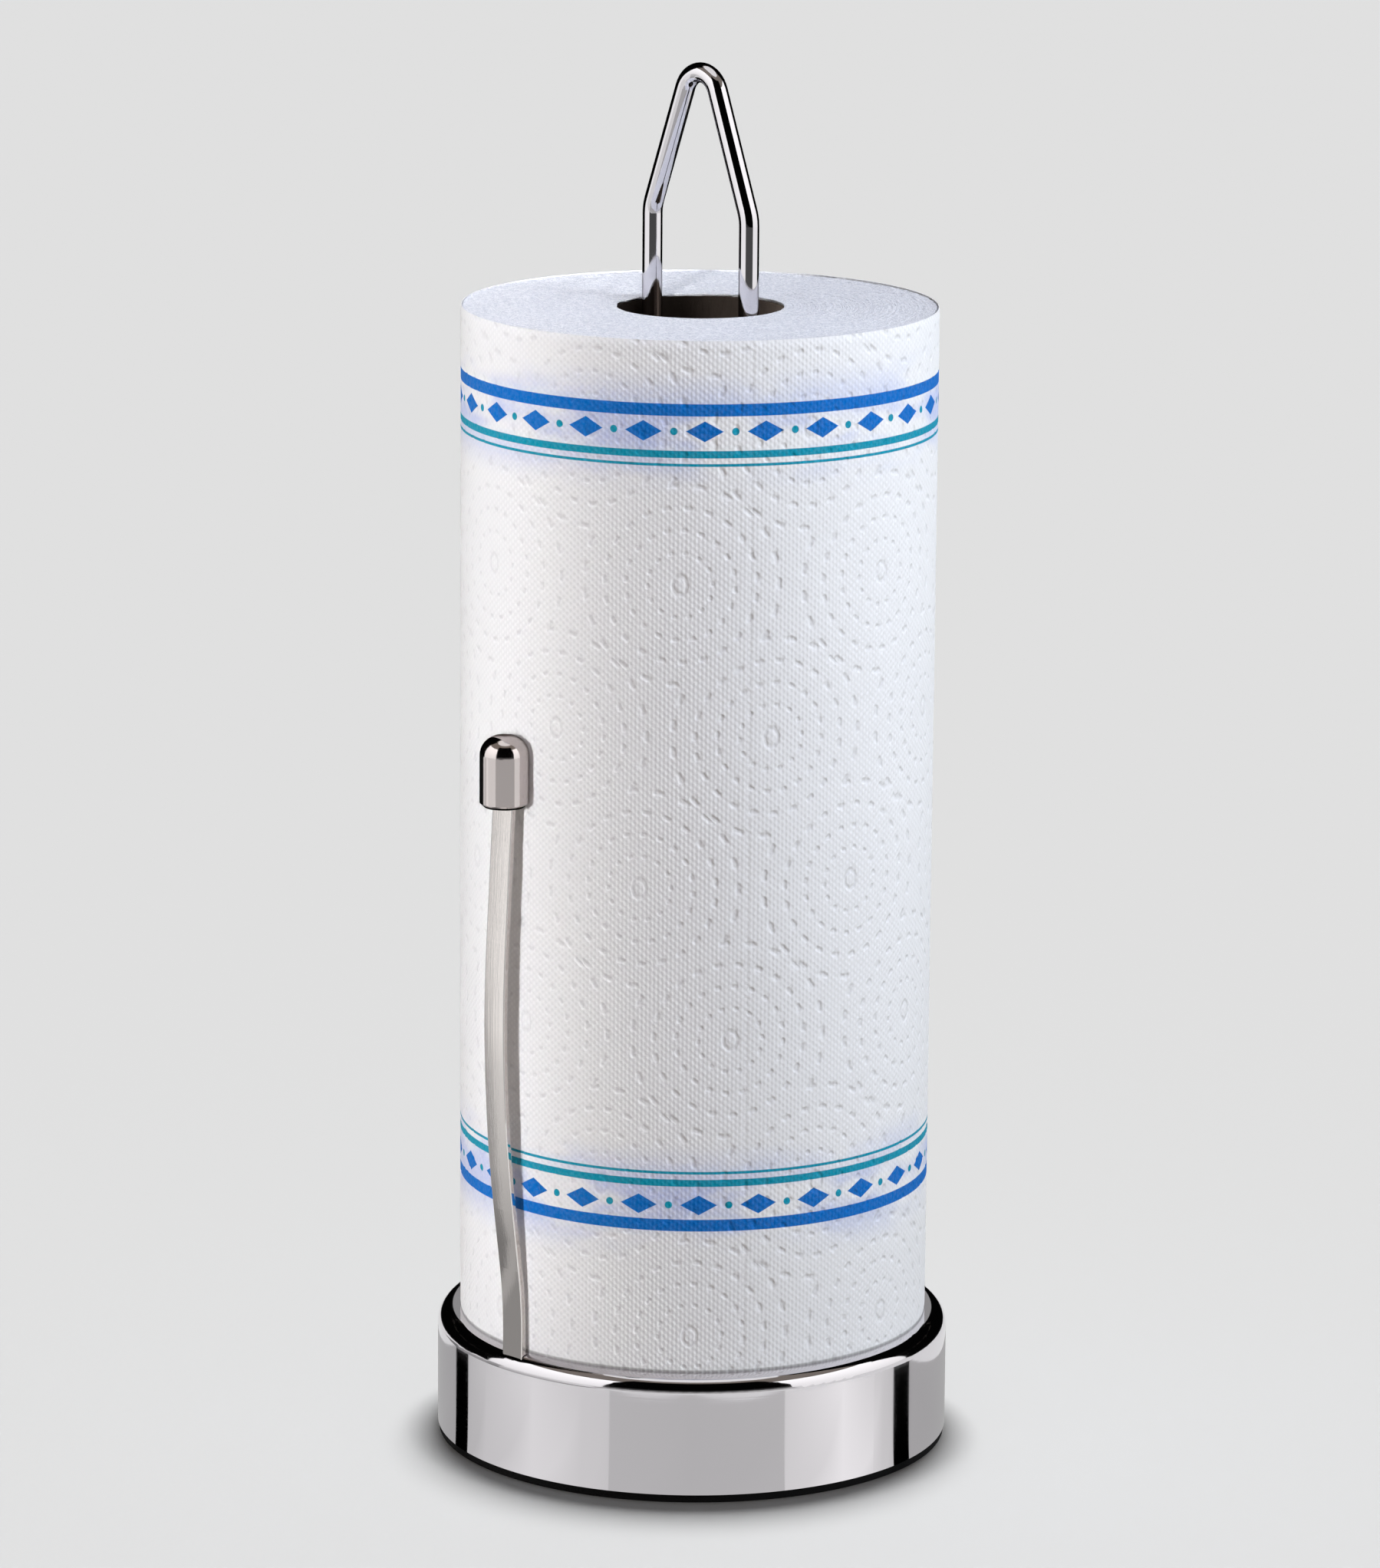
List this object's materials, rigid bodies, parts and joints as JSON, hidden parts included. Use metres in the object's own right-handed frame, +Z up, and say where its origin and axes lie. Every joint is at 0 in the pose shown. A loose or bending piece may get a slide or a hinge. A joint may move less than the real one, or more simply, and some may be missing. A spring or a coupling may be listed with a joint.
{
  "type": "paper towel holder",
  "caption": "Free-standing paper towel holder: weighted steel drum base, wire post with a pointed carrying loop, sprung tension arm and a full roll that spins.",
  "frame": {"origin": "centre of the pad's underside, where the holder stands", "axes": "+Z up along the roll's axis, -Y towards the tension arm, X along the carrying loop's plane"},
  "size_m": [0.13, 0.1371, 0.35],
  "materials": {
    "polished_steel": "polished",
    "plated_steel": "satin",
    "cast_iron": "matte",
    "black_rubber": "matte",
    "cardboard": "matte",
    "paper_towel": "matte"
  },
  "bodies": {
    "base": {"base_shell": "polished_steel", "foot_pad": "black_rubber", "bottom_plate": "plated_steel", "plate_screws": "plated_steel", "ballast_weight": "cast_iron", "post_loop": "polished_steel", "post_washers": "plated_steel", "post_nuts": "plated_steel", "arm_bracket": "plated_steel", "arm_pivot_pin": "plated_steel", "pin_clip": "plated_steel", "arm_springs": "plated_steel"},
    "arm": {"arm_barrel": "plated_steel", "tension_arm": "polished_steel", "arm_tip_cap": "polished_steel"},
    "roll": {"cardboard_core": "cardboard", "paper_roll": "paper_towel"}
  },
  "joints": [
    {"name": "arm_swing", "type": "hinge", "parent": "base", "child": "arm", "pos_m": [0, -0.05855, 0.027], "axis": [1, 0, 0], "range_deg": [0, 6], "stiffness_Nm_per_rad": 1.5, "springref_deg": -17.19, "deforming": ["arm_springs"]},
    {"name": "roll_spin", "type": "hinge", "parent": "base", "child": "roll", "pos_m": [0, 0, 0.161], "axis": [0, 0, 1], "continuous": true}
  ]
}
